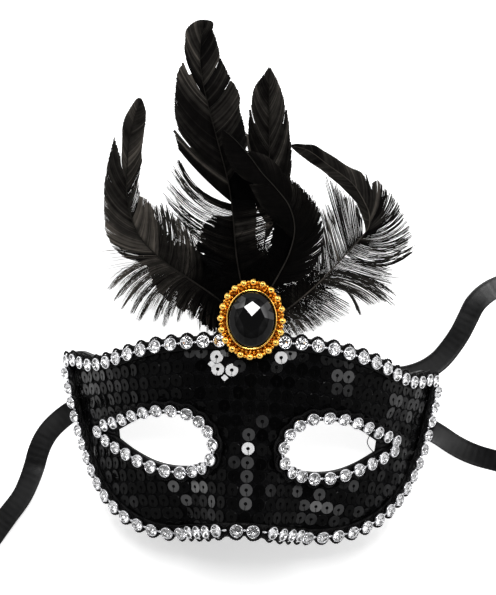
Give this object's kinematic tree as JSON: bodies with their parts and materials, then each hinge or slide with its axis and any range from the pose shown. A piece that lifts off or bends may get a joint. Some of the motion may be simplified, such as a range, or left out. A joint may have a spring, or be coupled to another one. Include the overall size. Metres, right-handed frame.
{
  "type": "masquerade mask",
  "caption": "Black half-face masquerade mask of sequinned cloth on a moulded shell, edged with rhinestone chain, with a gold brooch, feather plume and ribbon ties.",
  "frame": {"origin": "on the table, under the middle of the box round the mask and its plume", "axes": "+X to the viewer's right, +Y from the mouth edge up to the feathers' tips, +Z out of the face"},
  "size_m": [0.4213, 0.2779, 0.0844],
  "materials": {
    "plastic": "thin vacuum-formed black plastic, satin, slightly grained inside",
    "sequins": "glossy black cup sequins in rows on black cloth",
    "braid": "black scalloped gimp braid with a slight sheen",
    "rhinestone": "clear cut stones in bright silver cups",
    "gold": "polished deep yellow gold plating",
    "jet": "faceted jet black, mirror bright",
    "feather": "dyed black feather, silky, faintly brown where thin",
    "satin": "black satin ribbon with a bright sheen"
  },
  "bodies": {
    "root": {"mask_shell": "plastic", "sequin_cloth": "sequins", "edge_braid": "braid", "edge_rhinestones": "rhinestone", "eye_braid_left": "braid", "eye_rhinestones_left": "rhinestone", "eye_braid_right": "braid", "eye_rhinestones_right": "rhinestone", "brooch_setting": "gold", "brooch_stone": "jet", "feather_left": "feather", "feather_right": "feather", "feather_narrow": "feather", "feather_tall": "feather", "feather_hooked": "feather", "ribbon_left": "satin", "ribbon_right": "satin"}
  },
  "joints": []
}
